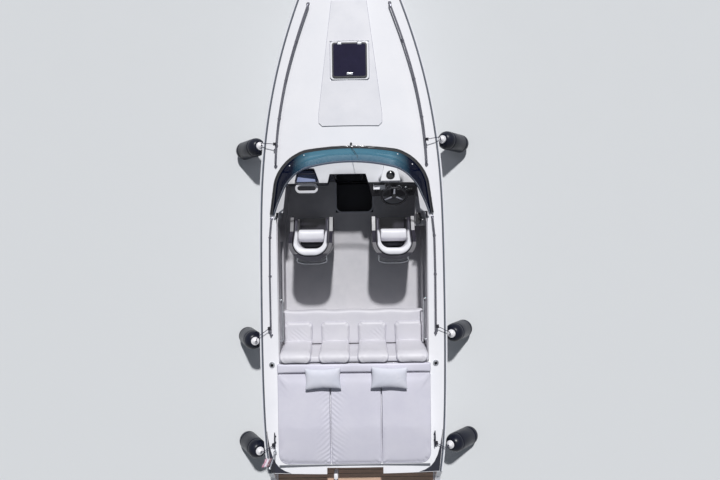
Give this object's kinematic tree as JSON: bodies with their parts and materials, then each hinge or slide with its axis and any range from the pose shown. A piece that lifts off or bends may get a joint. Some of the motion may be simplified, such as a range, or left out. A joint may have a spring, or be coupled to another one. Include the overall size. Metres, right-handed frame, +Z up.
{
  "type": "speedboat",
  "caption": "Open sport boat with a cuddy cabin, raked wraparound windshield, bucket helm seats, aft bench, sunpad over the engine, low swim platform, sterndrive and hung fenders.",
  "frame": {"origin": "on the centreline at the waterline, near amidships, 3.7 m ahead of the transom", "axes": "+Y to the bow, +X to starboard, +Z up"},
  "size_m": [3.5268, 8.198, 2.2236],
  "materials": {
    "gelcoat_white": "gloss",
    "hull_gelcoat": "gloss",
    "deck_centre": "satin",
    "liner": "satin",
    "black_rubber": "satin",
    "stainless": "polished",
    "black_frame": "satin",
    "tinted_glass": "gloss",
    "hatch_glass": "gloss",
    "door_panel": "gloss",
    "well_dark": "satin",
    "dash_black": "satin",
    "rail_white": "satin",
    "plywood": "matte",
    "white_vinyl": "satin",
    "dark_shell": "gloss",
    "black_plastic": "satin",
    "sunpad_vinyl": "satin",
    "teak": "satin",
    "engine_paint": "satin",
    "drive_paint": "satin",
    "propeller_steel": "polished",
    "fender_vinyl": "satin",
    "fender_cap": "satin",
    "rope": "matte",
    "flag_cloth": "matte"
  },
  "bodies": {
    "boat": {"hull": "hull_gelcoat", "deck": "gelcoat_white", "foredeck_panel": "deck_centre", "deck_hatch_frame": "gelcoat_white", "rub_rail": "black_rubber", "rub_rail_insert": "rail_white", "cockpit_liner": "liner", "side_pockets": "liner", "entry_well": "well_dark", "cabin_bulkhead": "gelcoat_white", "cabin_sole_and_berth": "plywood", "berth_cushion": "white_vinyl", "windshield_foot": "black_frame", "windshield_top": "black_frame", "windshield_glass": "tinted_glass", "wiper": "black_plastic", "dash_top": "gelcoat_white", "compass": "black_plastic", "port_console": "gelcoat_white", "helm_console": "dash_black", "throttle": "black_plastic", "seat_shells": "dark_shell", "seat_upholstery": "white_vinyl", "seat_grab_bars": "stainless", "seat_pedestals": "stainless", "bench_base": "liner", "bench_cushion": "white_vinyl", "bench_seat_pads": "white_vinyl", "bench_back": "white_vinyl", "bench_back_pads": "white_vinyl", "engine_bay_coaming": "gelcoat_white", "swim_platform": "gelcoat_white", "stern_step_well": "gelcoat_white", "platform_teak": "teak", "platform_strip": "black_rubber", "engine_block": "engine_paint", "drive_mount": "drive_paint", "towing_eyes": "stainless", "cleats": "stainless", "rod_holders": "stainless", "hand_rails": "stainless", "fenders": "fender_vinyl", "fender_caps": "fender_cap", "fender_lines": "rope", "flag_staff": "stainless", "flag": "flag_cloth"},
    "deck_hatch": {"deck_hatch_lid": "black_frame", "deck_hatch_glass": "hatch_glass"},
    "anchor_locker": {"anchor_locker_lid": "gelcoat_white"},
    "cabin_door": {"cabin_door": "door_panel"},
    "engine_lid": {"sunpad_lid": "gelcoat_white", "sunpad_cushions": "sunpad_vinyl", "pillows": "sunpad_vinyl"},
    "steering_wheel": {"steering_wheel": "black_plastic"},
    "drive_steer": {"gimbal_ring": "drive_paint"},
    "drive_leg": {"drive_leg": "drive_paint"},
    "propeller": {"propeller": "propeller_steel"},
    "bolster_port": {"seat_bolster_port": "white_vinyl"},
    "bolster_starboard": {"seat_bolster_starboard": "white_vinyl"}
  },
  "joints": [
    {"name": "deck_hatch_hinge", "type": "hinge", "parent": "boat", "child": "deck_hatch", "pos_m": [0, 2.044, 1.0889], "axis": [-1, 0, 0], "range_deg": [0, 85]},
    {"name": "anchor_locker_hinge", "type": "hinge", "parent": "boat", "child": "anchor_locker", "pos_m": [0, 3.224, 1.05], "axis": [-1, 0, 0], "range_deg": [0, 95]},
    {"name": "cabin_door_hinge", "type": "hinge", "parent": "boat", "child": "cabin_door", "pos_m": [-0.241, 0.367, 0.36], "axis": [0, 0, 1], "range_deg": [0, 95]},
    {"name": "engine_lid_hinge", "type": "hinge", "parent": "boat", "child": "engine_lid", "pos_m": [0, -2.172, 0.915], "axis": [-1, 0, 0], "range_deg": [0, 45]},
    {"name": "steering_wheel_turn", "type": "hinge", "parent": "boat", "child": "steering_wheel", "pos_m": [0.569, 0.0492, 0.889], "axis": [0, -0.788, 0.6156], "range_deg": [-540, 540]},
    {"name": "drive_steering", "type": "hinge", "parent": "boat", "child": "drive_steer", "pos_m": [0, -3.8, -0.03], "axis": [0, 0, 1], "range_deg": [-28, 28]},
    {"name": "drive_trim", "type": "hinge", "parent": "drive_steer", "child": "drive_leg", "pos_m": [0, -3.838, -0.03], "axis": [-1, 0, 0], "range_deg": [-5, 45]},
    {"name": "propeller_spin", "type": "hinge", "parent": "drive_leg", "child": "propeller", "pos_m": [0, -4.14, -0.61], "axis": [0, 1, 0], "continuous": true},
    {"name": "bolster_port_hinge", "type": "hinge", "parent": "boat", "child": "bolster_port", "pos_m": [-0.557, -0.52, 0.5], "axis": [1, 0, 0], "range_deg": [-90, 0]},
    {"name": "bolster_starboard_hinge", "type": "hinge", "parent": "boat", "child": "bolster_starboard", "pos_m": [0.562, -0.52, 0.5], "axis": [1, 0, 0], "range_deg": [-90, 0]}
  ],
  "couplings": [
    {"joint": "drive_steering", "follows": "steering_wheel_turn", "ratio": -0.0518}
  ]
}
